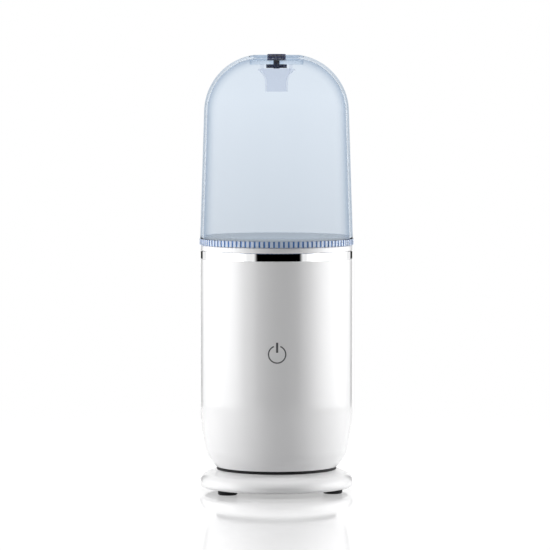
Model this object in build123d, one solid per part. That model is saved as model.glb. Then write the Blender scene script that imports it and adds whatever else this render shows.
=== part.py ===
"""Chopstick sterilizer: a free-standing round housing with a tinted clear lid that lifts off.

Frame: +Z up, the floor at z = 0 and the centre line of the round housing on the Z axis.
The front, with the touch key, faces -Y; the USB inlet faces +Y. All sizes are in millimetres.

From the floor up: three rubber feet, a wide base shell with the main board and the battery, a black
neck ring, the white casing with the fan and the heater in its foot, a plated trim ring, the white lip
of the inner liner, and the domed lid. The basket with its divider and drip cup stands in the liner.
"""

from build123d import *
from math import acos, asin, cos, degrees, radians, sin, sqrt, tan
import os

# ---------------------------------------------------------------- base, neck and feet
foot_lift = 3.5  # floor to the lower edge of the base shell
foot_radius = 7.0
foot_inset = 11.7  # centre of a foot inside the base's edge
foot_pocket = 0.9  # how deep a foot sits in the bottom cover
foot_edge_chamfer = 0.7
foot_angles = (97.0, 217.0, 337.0)

base_reach = 0.7  # base's edge beyond the housing
base_rim_height = 3.0  # lower edge of the base shell to the start of its round shoulder
base_shoulder_round = 7.3
base_shoulder_slope = 21.0  # degrees
base_edge_round = 2.2
base_wall = 2.4

cover_inset = 0.4  # bottom cover above the base shell's lower edge
cover_thickness = 2.0
cover_edge = 0.5  # how far the cover's rim laps over the foot of the base shell's wall
cover_gap = 0.2
cover_slot = (13.0, 2.2)
cover_slot_count = 12
cover_slot_circle = 15.0
cover_screw_sink = 1.1
cover_screw_reach = 2.6
cover_screw_inset = 11.7  # inside the base's edge
cover_screw_angles = (10.0, 130.0, 250.0)

neck_inset = 11.6  # neck's face inside the housing's
neck_width = 6.4
neck_height = 2.2
neck_boss_height = 5.5
neck_screw_angles = (30.0, 150.0, 270.0)

# ---------------------------------------------------------------- housing
body_radius = 55.0
casing_height = 150.4
casing_wall = 2.5
casing_flange = 2.0  # thickness of the turned-in foot of the casing
corner_height = 46.0  # height over which the side curves in
corner_upper_radius = 170.0
corner_lower_radius = 23.0
corner_turn = 11.2  # degrees, where the two radii meet

trim_height = 6.25
trim_proud = 0.2
trim_edge_chamfer = 0.4
lip_height = 3.7
lip_edge_chamfer = 0.5

liner_gap = 3.9  # between the liner and the casing
liner_wall = 1.8
liner_floor = 1.8
lip_width = 4.8
mouth_depth = 8.4
sleeve_wall = 2.0
louvre_count = 16
louvre = (3.0, 14.0)  # width, height
louvre_low = 14.0  # above the liner's floor

# ---------------------------------------------------------------- lid
rim_band_height = 4.3  # ribbed band at the foot of the lid
rim_flare = 0.5
rim_rib_count = 100
rim_rib_depth = 0.55
rim_rib_share = 0.56  # share of the pitch that a rib's crest takes
rim_rib_flank = 1.25  # a rib's foot against its crest
rim_web = 2.0
rim_bead = (1.6, 2.0)  # thickness and height of the bead inside the dome's foot
rim_lap = 0.5  # how far the ribbed band and the plug's web overlap

plug_thickness = 2.2
plug_depth = 7.7
plug_gap = 0.4
seal_height = 1.8
seal_depth = 0.9
seal_play = 0.1

dome_reach = 0.3  # dome's foot beyond the housing
dome_draft = 1.8  # degrees
dome_height = 133.1
dome_shoulder_radius = 42.0
dome_wall = 2.4
recess_radius = 17.0
recess_depth = 4.2
recess_corner = 2.0
recess_floor = 2.8
recess_edge_round = 0.6

vent_cap_radius = 6.65
vent_cap_height = 4.8
vent_cap_wall = 1.2
vent_cap_round = 0.6
vent_window = (1.3, 1.5)  # width, height
vent_window_count = 14
vent_stem_radius = 2.2
vent_stem_end = 0.4  # stem below its nut
vent_port_count = 6
vent_port_radius = 0.9
vent_port_circle = 4.0
nut_radius = 7.5
nut_height = 2.4
nut_slot = (3.2, 2.4)
nut_slot_shift = 0.6
funnel_drop = 4.0  # funnel rim under the lid's ceiling
funnel_rim_radius = 13.5
funnel_neck_radius = 8.2
funnel_flare_height = 9.0
funnel_height = 15.5
funnel_wall = 1.2
funnel_leg_radius = 1.2
funnel_leg_inset = 1.5  # a leg's centre inside the funnel's rim
funnel_leg_angles = (90.0, 210.0, 330.0)

magnet_radius = 1.4
magnet_height = 3.8
magnet_edge = 0.4  # between the magnet's pocket and the rim's bead
magnet_sink = 1.0
magnet_angle = 180.0
sensor_board = (1.0, 8.0, 8.0)
sensor_chip = (1.2, 3.0, 3.0)
sensor_chip_drop = 1.0

# ---------------------------------------------------------------- basket
drip_cup_height = 5.0
drip_cup_wall = 2.0
drip_cup_floor = 1.2
drip_cup_inset = 0.6
drip_cup_chamfer = 1.0
basket_wall_thickness = 1.6
basket_floor_thickness = 1.8
basket_floor_slots = ((8, 8.0, 0.29), (16, 9.0, 0.56), (24, 7.0, 0.83))  # count, length, share of the radius
basket_floor_slot_width = 3.0
basket_top_drop = 0.5  # basket top under the step in the liner's mouth
basket_slot_count = 20
basket_slot = (5.0, 42.0)  # width, height
basket_slot_rows = 2
basket_slot_low = 8.0  # first row above the basket floor
basket_slot_pitch = 50.0
basket_bead = (1.2, 3.0)  # thickness and height of the bead inside the basket's top
divider_vane = 1.6
divider_vane_count = 3
divider_height = 100.0
divider_gap = 0.3
divider_corner_round = 8.0
divider_window = (20.0, 28.0)  # width, height
divider_window_round = 5.0
divider_window_levels = (0.28, 0.70)  # shares of the divider's height
divider_window_shift = 1.5  # outwards from the middle of a vane
divider_post_radius = 4.0
divider_knob_radius = 7.0
divider_knob_height = 12.0
divider_knob_drop = 8.0  # knob's foot below the liner's lip
divider_knob_waist = (0.3, 0.6)  # shares of the neck's spread and of its height

# ---------------------------------------------------------------- fan and heater
chassis_thickness = 2.0
chassis_edge_gap = 0.4
fan_height = 10.0
fan_frame_radius = 30.0
fan_frame_wall = 2.6
fan_seat_radius = 10.5
fan_arm = (3.0, 1.5)  # width, height
fan_arm_angles = (30.0, 150.0, 270.0)
fan_tip_gap = 0.6
fan_hub_radius = 12.0
fan_hub_wall = 1.2
fan_hub_chamfer = 0.8
fan_hub_low = 2.3  # above the chassis plate
fan_hub_drop = 0.8  # hub's top below the frame's
fan_blade_count = 7
fan_blade_thickness = 1.2
fan_blade_root = (48.0, 6.6)  # pitch in degrees, chord
fan_blade_tip = (24.0, 13.0)
fan_blade_sink = 0.5
shaft_radius = 1.5
shaft_clearance = 0.05
shaft_end_gap = 0.3
bush_radius = 2.2
bearing_radius = 3.0
bearing_floor = 0.6
bearing_height = 7.6
stator_radius = 8.6
stator_core_radius = 4.6
stator_height = 5.0
stator_low = 2.0
stator_pole = (4.4, 3.0)
stator_shoe = (1.2, 7.5)
stator_pole_count = 4
fan_magnet_thickness = 1.5
fan_magnet_drop = 0.4
heater_frame_height = 5.5
heater_floor = 1.2
heater_height = 4.0
heater_corner_gap = 3.2  # between the block's corners and the fan's bore
heater_corner_turn = 38.3  # degrees, from the block's long side to its corner
heater_ledge = 1.0
heater_bar = 3.0
heater_border = 2.0
heater_fin_pitch = 2.8
heater_fin_gap = 1.7
plenum_height = 2.0
clamp_pad_radius = 1.3
post_gap = 0.4  # between a post and the fan
post_radius = 3.4
post_height = 8.0
post_angles = (70.0, 190.0, 310.0)
post_screw_sink = 2.4

# ---------------------------------------------------------------- lamps, key, boards and power
uv_window = (10.0, 62.0)  # width, height
uv_window_low = 34.0  # above the liner's floor
uv_window_angles = (60.0, 120.0)
uv_board = (10.0, 70.0, 1.0)
uv_rail = 1.2
uv_led = (3.5, 3.5, 1.2)
uv_led_count = 3

touch_height = 84.9  # above the foot of the casing
touch_board = (22.0, 22.0, 1.2)
touch_board_gap = 0.5
touch_pad_radius = 8.0

board_thickness = 1.6
board_standoff = 2.0
board_standoff_radius = 2.4
board_post_inset = 6.0
board_post_angles = (17.0, 90.0, 163.0)
main_board_gap = 1.9  # between the board and the screw bosses
main_board_edge_y = 6.0
board_screw_room = 3.0
board_chips = (  # place, size
    ((-12.0, 20.0), (9.0, 9.0, 1.4)),
    ((8.0, 14.0), (5.0, 6.0, 1.6)),
    ((-27.0, 13.0), (5.0, 8.0, 3.6)),
)
board_cans = (  # place, radius, height
    ((20.0, 22.0), 4.0, 3.4),
    ((2.0, 25.0), 2.5, 4.2),
    ((9.0, 25.0), 2.5, 4.2),
)
battery = (44.0, 22.0, 6.0)
battery_screw_gap = 0.4
battery_edge_round = 1.5

usb_shell = (8.94, 7.3, 3.26)  # width, length, height
usb_wall = 0.35
usb_back_wall = 0.8
usb_tongue = (6.0, 5.4, 0.7)
usb_board = (14.0, 9.0, 1.0)
usb_board_reach = 4.0  # from the socket's back to the board's outer edge
usb_leg = 2.0
usb_leg_inset = 1.5
usb_above_chassis = 6.9
usb_mouth_inset = 1.4
usb_slot_gap = 0.35

# ---------------------------------------------------------------- fits and fasteners
running_gap = 0.3  # between pieces that move past each other
seat_gap = 0.15  # between round pieces of one body
past = 1.0  # how far a cutting shape runs past a face
screw_radius = 1.5
screw_clearance = 0.2
screw_grip = 0.05
screw_end_gap = 1.0
screw_boss_wall = 1.6
screw_head_radius = 2.8
screw_head_height = 2.2
screw_cross = (3.0, 0.8, 0.6)

# ---------------------------------------------------------------- levels and radii that follow
slope = radians(base_shoulder_slope)
turn = radians(corner_turn)
draft = radians(dome_draft)

base_low = foot_lift
base_radius = body_radius + base_reach
base_rim_top = base_low + base_rim_height
neck_radius = body_radius - neck_inset
neck_bore_radius = neck_radius - neck_width
neck_screw_circle = (neck_radius + neck_bore_radius) / 2
foot_circle = base_radius - foot_inset
cover_screw_circle = base_radius - cover_screw_inset
screw_boss_radius = screw_radius + screw_boss_wall
main_board_radius = cover_screw_circle - screw_boss_radius - main_board_gap
battery_far_y = battery_screw_gap + screw_head_radius - neck_screw_circle
shoulder_centre = (base_radius - base_shoulder_round, base_rim_top)
shoulder_end = (
    shoulder_centre[0] + base_shoulder_round * sin(slope),
    shoulder_centre[1] + base_shoulder_round * cos(slope),
)
base_top = shoulder_end[1] + (shoulder_end[0] - neck_radius) * tan(slope)
cover_low = base_low + cover_inset
cover_top = cover_low + cover_thickness
cover_radius = base_radius - base_edge_round - base_wall + cover_edge
board_low = cover_top + board_standoff
board_top = board_low + board_thickness

casing_low = base_top + neck_height
casing_top = casing_low + casing_height
casing_bore = body_radius - casing_wall
liner_radius = casing_bore - liner_gap
mouth_radius = body_radius - lip_width
trim_top = casing_top + trim_height
lip_top = trim_top + lip_height

corner_top = casing_low + corner_height
upper_centre = (body_radius - corner_upper_radius, corner_top)
lower_centre = (
    upper_centre[0] + (corner_upper_radius - corner_lower_radius) * cos(turn),
    upper_centre[1] - (corner_upper_radius - corner_lower_radius) * sin(turn),
)

chassis_low = casing_low + casing_flange
chassis_top = chassis_low + chassis_thickness
fan_top = chassis_top + fan_height
fan_bore = fan_frame_radius - fan_frame_wall
hub_low = chassis_top + fan_hub_low
hub_top = fan_top - fan_hub_drop
hub_bore = fan_hub_radius - fan_hub_wall
heater_top = fan_top + heater_frame_height
liner_low = heater_top + plenum_height
liner_floor_top = liner_low + liner_floor
liner_bore = liner_radius - liner_wall
step_top = lip_top - mouth_depth
step_low = step_top - liner_wall
sleeve_radius = mouth_radius + sleeve_wall
uv_board_low = liner_floor_top + uv_window_low - (uv_board[1] - uv_window[1]) / 2
usb_z = chassis_top + usb_above_chassis
touch_z = casing_low + touch_height
post_circle = fan_frame_radius + post_gap + post_radius
heater_corner = fan_bore - heater_corner_gap
heater_block = (
    2 * heater_corner * cos(radians(heater_corner_turn)),
    2 * heater_corner * sin(radians(heater_corner_turn)),
    heater_height,
)

cup_low = liner_floor_top + running_gap
cup_top = cup_low + drip_cup_height
basket_floor_top = cup_top + basket_floor_thickness
basket_radius = liner_bore - 2 * running_gap
basket_bore = basket_radius - basket_wall_thickness
basket_top = step_top - basket_top_drop

rim_low = lip_top + running_gap
rim_top = rim_low + rim_band_height
dome_radius = body_radius + dome_reach
rim_radius = dome_radius + rim_flare
dome_bore = dome_radius - dome_wall
rim_bead_radius = dome_bore - seat_gap - seal_play
magnet_circle = rim_bead_radius - rim_bead[0] - seat_gap - magnet_radius - magnet_edge
plug_radius = mouth_radius - plug_gap
plug_low = rim_low - plug_depth
seal_low = plug_low + (plug_depth - seal_height) / 2

dome_centre_z = rim_top + dome_height - dome_shoulder_radius
dome_centre_x = (
    dome_radius - (dome_centre_z - rim_top) * tan(draft) - dome_shoulder_radius / cos(draft)
)


def dome_height_at(radius, inset=0.0):
    """Height of the dome's shoulder, or of its inner side, at a distance from the axis."""
    return dome_centre_z + sqrt((dome_shoulder_radius - inset) ** 2 - (radius - dome_centre_x) ** 2)


recess_top = dome_height_at(recess_radius)
recess_base = recess_top - recess_depth
ceiling = recess_base - recess_floor


# ---------------------------------------------------------------- helpers
def at(radius, angle, z=0.0):
    """A place on a circle round the axis, turned so that its X points outwards."""
    return Rot(0, 0, angle) * Pos(radius, 0, z)


def rod(radius, low, high):
    return Pos(0, 0, low) * Cylinder(radius, high - low, align=(Align.CENTER, Align.CENTER, Align.MIN))


def tube(bore, radius, low, high):
    return rod(radius, low, high) - rod(bore, low - past, high + past)


def block(size, low=0.0):
    """A box centred on X and Y that stands on the given height."""
    return Pos(0, 0, low) * Box(*size, align=(Align.CENTER, Align.CENTER, Align.MIN))


def spun(*edges):
    """The solid that a closed outline in the XZ plane sweeps round the Z axis."""
    return revolve(Plane.XZ * make_face(edges), Axis.Z, 360)


def spun_points(*points):
    return spun(Polyline(*points, close=True))


def arc_about(centre, radius, start, end):
    """An arc about a centre from one angle to another, in degrees."""
    return CenterArc(centre, radius, start, end - start)


def on_circle(centre, radius, angle):
    return (centre[0] + radius * cos(radians(angle)), centre[1] + radius * sin(radians(angle)))


def around(piece, radius, angles, z=0.0):
    """Copies of a piece on a circle, fused where they touch."""
    copies = [at(radius, angle, z) * piece for angle in angles]
    return copies[0].fuse(*copies[1:])


def group(piece, radius, angles, z=0.0):
    """Separate copies of a piece on a circle."""
    return Compound(children=[at(radius, angle, z) * piece for angle in angles])


def even_angles(count, start=0.0):
    return [start + 360.0 * i / count for i in range(count)]


def circles_at(shape, z):
    """The round edges of a shape that lie at a height."""
    circles = shape.edges().filter_by(GeomType.CIRCLE)
    return circles.filter_by(lambda edge: abs(edge.arc_center.Z - z) < seat_gap / 2)


def screw_holes(radius, low, high, circle, angles):
    return around(rod(radius, low, high), circle, angles)


# ---------------------------------------------------------------- housing: casing, trim and liner
def lower_radius_at(z, inset=0.0):
    """Radius of the casing's foot, or of its inner side, at a height."""
    return lower_centre[0] + sqrt((corner_lower_radius - inset) ** 2 - (lower_centre[1] - z) ** 2)


def side_curve(inset, low):
    """Edges of the casing's side from the top to its foot, set in by a wall."""
    side = body_radius - inset
    last = degrees(asin((lower_centre[1] - low) / (corner_lower_radius - inset)))
    return [
        Line((side, casing_top), (side, corner_top)),
        arc_about(upper_centre, corner_upper_radius - inset, 0, -corner_turn),
        arc_about(lower_centre, corner_lower_radius - inset, -corner_turn, -last),
    ]


def outer_casing():
    foot_out = lower_radius_at(casing_low)
    foot_in = lower_radius_at(chassis_low, casing_wall)
    shell = spun(
        *side_curve(0, casing_low),
        Line((foot_out, casing_low), (neck_bore_radius, casing_low)),
        Line((neck_bore_radius, casing_low), (neck_bore_radius, chassis_low)),
        Line((neck_bore_radius, chassis_low), (foot_in, chassis_low)),
        *side_curve(casing_wall, chassis_low),
        Line((casing_bore, casing_top), (body_radius, casing_top)),
    )
    holes = screw_holes(screw_radius + screw_clearance, casing_low - past, chassis_low + past,
                        neck_screw_circle, neck_screw_angles)
    return shell - usb_opening() - holes


def usb_opening():
    """The rounded slot for the plug in the back of the casing."""
    width = usb_shell[0] + 2 * usb_slot_gap
    height = usb_shell[2] + 2 * usb_slot_gap
    outline = Plane.XZ * SlotOverall(width, height)
    return Pos(0, 0, usb_z) * extrude(outline, amount=-body_radius)


def trim_ring():
    radius = body_radius + trim_proud
    ring = tube(sleeve_radius + seat_gap, radius, casing_top, trim_top)
    outer = ring.edges().filter_by(GeomType.CIRCLE).filter_by(lambda edge: edge.radius > casing_bore)
    return chamfer(outer, trim_edge_chamfer)


def window_block(angle, gap=0.0):
    """A block through the liner's wall where a lamp window sits."""
    size = (4 * liner_wall, uv_window[0] - 2 * gap, uv_window[1] - 2 * gap)
    return at(liner_radius, angle, liner_floor_top + uv_window_low + gap) * block(size)


def board_rails(angle):
    """Two upright rails on the liner that hold a lamp board by its edges."""
    reach = seat_gap + uv_led[2] + uv_board[2]
    root = liner_wall / 2
    rail = block((root + reach, uv_rail, uv_board[1]))
    offset = (uv_board[0] + uv_rail) / 2 + seat_gap
    middle = liner_radius + (reach - root) / 2
    pair = Pos(0, offset, 0) * rail + Pos(0, -offset, 0) * rail
    return at(middle, angle, uv_board_low) * pair


def inner_liner():
    cup = spun_points(
        (0, liner_low), (liner_radius, liner_low), (liner_radius, step_low),
        (sleeve_radius, step_low), (sleeve_radius, trim_top), (body_radius, trim_top),
        (body_radius, lip_top), (mouth_radius, lip_top), (mouth_radius, step_top),
        (liner_bore, step_top), (liner_bore, liner_floor_top), (0, liner_floor_top),
    )
    cup = chamfer(circles_at(cup, lip_top), lip_edge_chamfer)
    for angle in uv_window_angles:
        cup -= window_block(angle)
        cup += board_rails(angle)
    cup -= around(block((4 * liner_wall, *louvre)), liner_radius, even_angles(louvre_count),
                  liner_floor_top + louvre_low)
    boss = rod(post_radius, chassis_top + post_height, liner_low)
    pad = rod(clamp_pad_radius, heater_top, liner_low)
    cup += around(boss, post_circle, post_angles)
    cup += around(pad, fan_frame_radius - clamp_pad_radius, neck_screw_angles)
    return cup - screw_holes(screw_radius + screw_grip, chassis_top, liner_low - screw_end_gap,
                             post_circle, post_angles)


def uv_windows():
    """Clear covers that fill the two windows in the liner's wall."""
    wall = tube(liner_bore, liner_radius, liner_floor_top, step_low)
    covers = [wall & window_block(angle, gap=seat_gap) for angle in uv_window_angles]
    return Compound(children=[cover.solid() for cover in covers])


def uv_boards():
    board = block((uv_board[2], uv_board[0], uv_board[1]))
    place = liner_radius + seat_gap + uv_led[2] + uv_board[2] / 2
    return group(board, place, uv_window_angles, uv_board_low)


def uv_leds():
    step = uv_window[1] / uv_led_count
    first = liner_floor_top + uv_window_low + (step - uv_led[1]) / 2
    chip = block((uv_led[2], uv_led[0], uv_led[1]))
    place = liner_radius + seat_gap + uv_led[2] / 2
    chips = [
        at(place, angle, first + i * step) * chip
        for angle in uv_window_angles
        for i in range(uv_led_count)
    ]
    return Compound(children=chips)


# ---------------------------------------------------------------- base
def base_solid():
    """The base's outer form, filled."""
    edge = base_edge_round
    return spun(
        Line((0, base_low), (base_radius - edge, base_low)),
        arc_about((base_radius - edge, base_low + edge), edge, -90, 0),
        Line((base_radius, base_low + edge), (base_radius, base_rim_top)),
        arc_about(shoulder_centre, base_shoulder_round, 0, 90 - base_shoulder_slope),
        Line(shoulder_end, (neck_radius, base_top)),
        Line((neck_radius, base_top), (0, base_top)),
        Line((0, base_top), (0, base_low)),
    )


def base_hollow():
    """The space inside the base, over its cover."""
    side = base_radius - base_wall
    inner_top = base_top - base_wall
    slope_foot = on_circle(shoulder_centre, base_shoulder_round - base_wall, 90 - base_shoulder_slope)
    return spun_points(
        (0, cover_top), (side, cover_top), (side, base_rim_top), slope_foot,
        (neck_radius, inner_top), (0, inner_top),
    )


def base_shell():
    outer = base_solid()
    shell = outer - base_hollow()
    shell -= rod(cover_radius + cover_gap, base_low - past, cover_top)
    shell -= rod(neck_bore_radius, base_top - base_wall - past, base_top + past)
    boss = rod(screw_boss_radius, cover_top, base_top)
    shell += around(boss, cover_screw_circle, cover_screw_angles) & outer
    tip = cover_top + cover_screw_reach
    shell -= screw_holes(screw_radius + screw_grip, cover_low, tip + screw_end_gap,
                         cover_screw_circle, cover_screw_angles)
    return shell - screw_holes(screw_radius + screw_clearance, base_top - base_wall - past, base_top + past,
                               neck_screw_circle, neck_screw_angles)


def neck_ring():
    ring = tube(neck_bore_radius, neck_radius, base_top, casing_low)
    return ring - screw_holes(screw_radius + screw_clearance, base_top - past, casing_low + past,
                              neck_screw_circle, neck_screw_angles)


def bottom_cover():
    plate = rod(cover_radius, cover_low, cover_top)
    pocket = rod(foot_radius + seat_gap, cover_low - past, cover_low + foot_pocket)
    plate -= around(pocket, foot_circle, foot_angles)
    plate -= screw_holes(screw_head_radius + screw_clearance, cover_low - past,
                         cover_low + cover_screw_sink, cover_screw_circle, cover_screw_angles)
    plate -= screw_holes(screw_radius + screw_clearance, cover_low - past, cover_top + past,
                         cover_screw_circle, cover_screw_angles)
    slot = block((*cover_slot, cover_thickness + 2 * past), cover_low - past)
    plate -= around(slot, cover_slot_circle, even_angles(cover_slot_count))
    post = rod(board_standoff_radius, cover_top, board_low)
    return plate + around(post, main_board_radius - board_post_inset, board_post_angles)


def rubber_feet():
    foot = rod(foot_radius, 0, cover_low + foot_pocket)
    foot = chamfer(circles_at(foot, 0), foot_edge_chamfer)
    return group(foot, foot_circle, foot_angles)


def screw(seat, head, tip):
    """A screw with its head below its seat and its tip above, and a cross recess."""
    body = rod(screw_head_radius, seat - head, seat) + rod(screw_radius, seat - head, tip)
    length, width, depth = screw_cross
    cross = block((length, width, 2 * depth), -depth) + block((width, length, 2 * depth), -depth)
    return body - Pos(0, 0, seat - head) * cross


def cover_screws():
    piece = screw(cover_low + cover_screw_sink, cover_screw_sink, cover_top + cover_screw_reach)
    return group(piece, cover_screw_circle, cover_screw_angles)


def neck_screws():
    tip = chassis_top + neck_boss_height - screw_end_gap
    return group(screw(base_top - base_wall, screw_head_height, tip), neck_screw_circle, neck_screw_angles)


def post_screws():
    tip = liner_low - 2 * screw_end_gap
    return group(screw(chassis_low + post_screw_sink, screw_head_height, tip), post_circle, post_angles)


# ---------------------------------------------------------------- boards and power
def main_board():
    disc = rod(main_board_radius, board_low, board_top)
    width = 2 * main_board_radius
    half = Pos(0, main_board_edge_y + width / 2, 0) * block((width, width, board_thickness), board_low)
    room = rod(screw_head_radius + board_screw_room, board_low - past, board_top + past)
    return (disc & half) - around(room, neck_screw_circle, neck_screw_angles)


def board_parts():
    """The chips, the coil and the capacitors on the main board."""
    chips = [Pos(*place, 0) * block(size, board_top) for place, size in board_chips]
    cans = [
        Pos(*place, 0) * rod(radius, board_top, board_top + height)
        for place, radius, height in board_cans
    ]
    return Compound(children=chips + cans)


def battery_pack():
    cell = Pos(0, battery_far_y + battery[1] / 2, 0) * block(battery, cover_top)
    return fillet(cell.edges().filter_by(Axis.X), battery_edge_round)


def usb_back_y():
    return lower_radius_at(usb_z) - usb_mouth_inset - usb_shell[1]


def usb_port():
    """The socket's steel shell with its tongue, open to the back."""
    width, length, height = usb_shell
    shell = extrude(Plane.XZ * SlotOverall(width, height), amount=-length)
    inner = Plane.XZ * SlotOverall(width - 2 * usb_wall, height - 2 * usb_wall)
    hollow = Pos(0, usb_back_wall, 0) * extrude(inner, amount=-length)
    tongue = Box(*usb_tongue, align=(Align.CENTER, Align.MIN, Align.CENTER))
    return Pos(0, usb_back_y(), usb_z) * (shell - hollow + Pos(0, usb_back_wall / 2, 0) * tongue)


def usb_board_low():
    return usb_z - usb_shell[2] / 2 - usb_board[2]


def usb_carrier():
    """The small board under the socket."""
    y = usb_back_y() + usb_board_reach - usb_board[1] / 2
    return Pos(0, y, 0) * block(usb_board, usb_board_low())


def touch_key_board():
    y = liner_radius + touch_board_gap + touch_board[2] / 2
    return Pos(0, -y, touch_z) * Box(touch_board[0], touch_board[2], touch_board[1])


def touch_pad():
    """The foam electrode between the key's board and the casing's front wall."""
    face = liner_radius + touch_board_gap + touch_board[2]
    pad = Pos(0, -face, touch_z) * Rot(90, 0, 0) * Cylinder(
        touch_pad_radius, body_radius - face, align=(Align.CENTER, Align.CENTER, Align.MIN)
    )
    return pad & rod(casing_bore - seat_gap, touch_z - touch_pad_radius, touch_z + touch_pad_radius)


def lid_sensor():
    """The small board with the sensor that reads the lid's magnet."""
    board = Box(*sensor_board, align=(Align.MIN, Align.CENTER, Align.MAX))
    chip = Pos(0, 0, -sensor_chip_drop) * Box(*sensor_chip, align=(Align.MAX, Align.CENTER, Align.MAX))
    return at(liner_radius + seat_gap + sensor_chip[0], magnet_angle, step_low - seat_gap) * (board + chip)


# ---------------------------------------------------------------- fan and heater
def chassis_plate():
    plate = rod(lower_radius_at(chassis_low, casing_wall) - chassis_edge_gap, chassis_low, chassis_top)
    plate -= rod(fan_bore, chassis_low - past, chassis_top + past)
    boss_top = chassis_top + neck_boss_height
    post_top = chassis_top + post_height
    plate += around(rod(screw_boss_radius, chassis_top, boss_top), neck_screw_circle, neck_screw_angles)
    plate += around(rod(post_radius, chassis_top, post_top), post_circle, post_angles)
    plate -= screw_holes(screw_radius + screw_grip, chassis_low - past, boss_top + past,
                         neck_screw_circle, neck_screw_angles)
    plate -= screw_holes(screw_radius + screw_clearance, chassis_low - past, post_top + past,
                         post_circle, post_angles)
    plate -= screw_holes(screw_head_radius + screw_clearance, chassis_low - past,
                         chassis_low + post_screw_sink, post_circle, post_angles)
    leg = block((usb_leg, usb_leg, usb_board_low() - chassis_top), chassis_top)
    leg_x = usb_board[0] / 2 - usb_leg_inset
    leg_y = usb_back_y() + usb_board_reach - usb_board[1] + usb_leg_inset
    return plate + Pos(leg_x, leg_y, 0) * leg + Pos(-leg_x, leg_y, 0) * leg


def fan_frame():
    ring = tube(fan_bore, fan_frame_radius, chassis_top, fan_top)
    arm_top = chassis_top + fan_arm[1]
    arm = block((fan_frame_radius, *fan_arm), chassis_top)
    arms = around(arm, fan_frame_radius / 2, fan_arm_angles) & rod(fan_bore + seat_gap, chassis_top, arm_top)
    seat = rod(fan_seat_radius, chassis_top, arm_top)
    bearing = rod(bearing_radius, chassis_top, chassis_top + bearing_height)
    bore = rod(bush_radius + shaft_clearance, chassis_top + bearing_floor, fan_top)
    return ring + arms + seat + bearing - bore


def fan_bush():
    """The bronze sleeve that the fan's shaft turns in."""
    low = chassis_top + bearing_floor
    return tube(shaft_radius + shaft_clearance, bush_radius, low, chassis_top + bearing_height)


def fan_stator():
    """Laminated core with its wound poles round the bearing tube."""
    low = chassis_top + stator_low
    high = low + stator_height
    core = tube(bearing_radius + seat_gap, stator_core_radius, low, high)
    angles = even_angles(stator_pole_count)
    pole = block((*stator_pole, stator_height), low)
    shoe = block((*stator_shoe, stator_height), low)
    core += around(pole, stator_core_radius + stator_shoe[0], angles)
    core += around(shoe, stator_radius - stator_shoe[0] / 2, angles)
    return core & rod(stator_radius, low, high)


def fan_rotor():
    """A cup-shaped hub with twisted blades."""
    tip = fan_bore - fan_tip_gap
    hub = rod(fan_hub_radius, hub_low, hub_top) - rod(hub_bore, hub_low - past, hub_top - fan_hub_wall)
    hub = chamfer(circles_at(hub, hub_top), fan_hub_chamfer)
    blade = fan_blade(fan_hub_radius - fan_blade_sink, tip) & rod(tip, -fan_height, fan_height)
    return hub + around(Pos(0, 0, (hub_low + hub_top) / 2) * blade, 0, even_angles(fan_blade_count))


def fan_blade(root, tip):
    """One twisted blade along X, from its root to its tip."""
    sections = []
    for radius, (pitch, chord) in ((root, fan_blade_root), (tip, fan_blade_tip)):
        plane = Plane(origin=(radius, 0, 0), x_dir=(0, 1, 0), z_dir=(1, 0, 0))
        sections.append(plane * Rot(0, 0, pitch) * Rectangle(chord, fan_blade_thickness))
    return loft(sections)


def fan_shaft():
    return rod(shaft_radius, chassis_top + bearing_floor + shaft_end_gap, hub_top - fan_hub_wall)


def fan_magnet():
    """The ring magnet inside the rotor's hub."""
    outer = hub_bore - seat_gap
    return tube(outer - fan_magnet_thickness, outer, hub_low, hub_top - fan_hub_wall - fan_magnet_drop)


def heater_frame():
    """The ring over the fan, with the ledge that the heating block sits on."""
    floor_top = fan_top + heater_floor
    opening = (heater_block[0] - 2 * heater_ledge, heater_block[1] - 2 * heater_ledge, heater_frame_height)
    floor = rod(fan_frame_radius, fan_top, floor_top) - block(opening, fan_top - past)
    return floor + tube(fan_bore, fan_frame_radius, fan_top, heater_top)


def ptc_heater():
    """The heating block: two banks of fins beside a ceramic bar."""
    length, depth, height = heater_block
    low = fan_top + heater_floor
    body = block(heater_block, low)
    slot_depth = (depth - 2 * heater_border - heater_bar) / 2
    slot = block((heater_fin_gap, slot_depth, height + 2 * past), low - past)
    count = int((length - 2 * heater_border) / heater_fin_pitch)
    for i in range(count):
        x = (i - (count - 1) / 2) * heater_fin_pitch
        for side in (-1, 1):
            body -= Pos(x, side * (slot_depth + heater_bar) / 2, 0) * slot
    return body


# ---------------------------------------------------------------- basket
def drip_cup():
    radius = basket_radius - drip_cup_inset
    hollow = rod(radius - drip_cup_wall, cup_low + drip_cup_floor, cup_top + past)
    cup = rod(radius, cup_low, cup_top) - hollow
    return chamfer(circles_at(cup, cup_low), drip_cup_chamfer)


def basket_floor():
    plate = rod(basket_bore - seat_gap, cup_top, basket_floor_top)
    height = basket_floor_thickness + 2 * past
    for count, length, share in basket_floor_slots:
        slot = block((length, basket_floor_slot_width, height), cup_top - past)
        plate -= around(slot, share * basket_bore, even_angles(count, 180.0 / count))
    return plate


def basket_sleeve():
    """The round wall of the basket, open to the lamps through upright slots."""
    bead_thickness, bead_height = basket_bead
    bead_low = basket_top - bead_height
    wall = spun_points(
        (basket_bore, cup_top), (basket_radius, cup_top), (basket_radius, basket_top),
        (basket_bore - bead_thickness, basket_top), (basket_bore - bead_thickness, bead_low),
        (basket_bore, bead_low),
    )
    cutter = block((4 * basket_wall_thickness, *basket_slot))
    for row in range(basket_slot_rows):
        z = basket_floor_top + basket_slot_low + row * basket_slot_pitch
        wall -= around(cutter, basket_bore, even_angles(basket_slot_count), z)
    return wall


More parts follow.
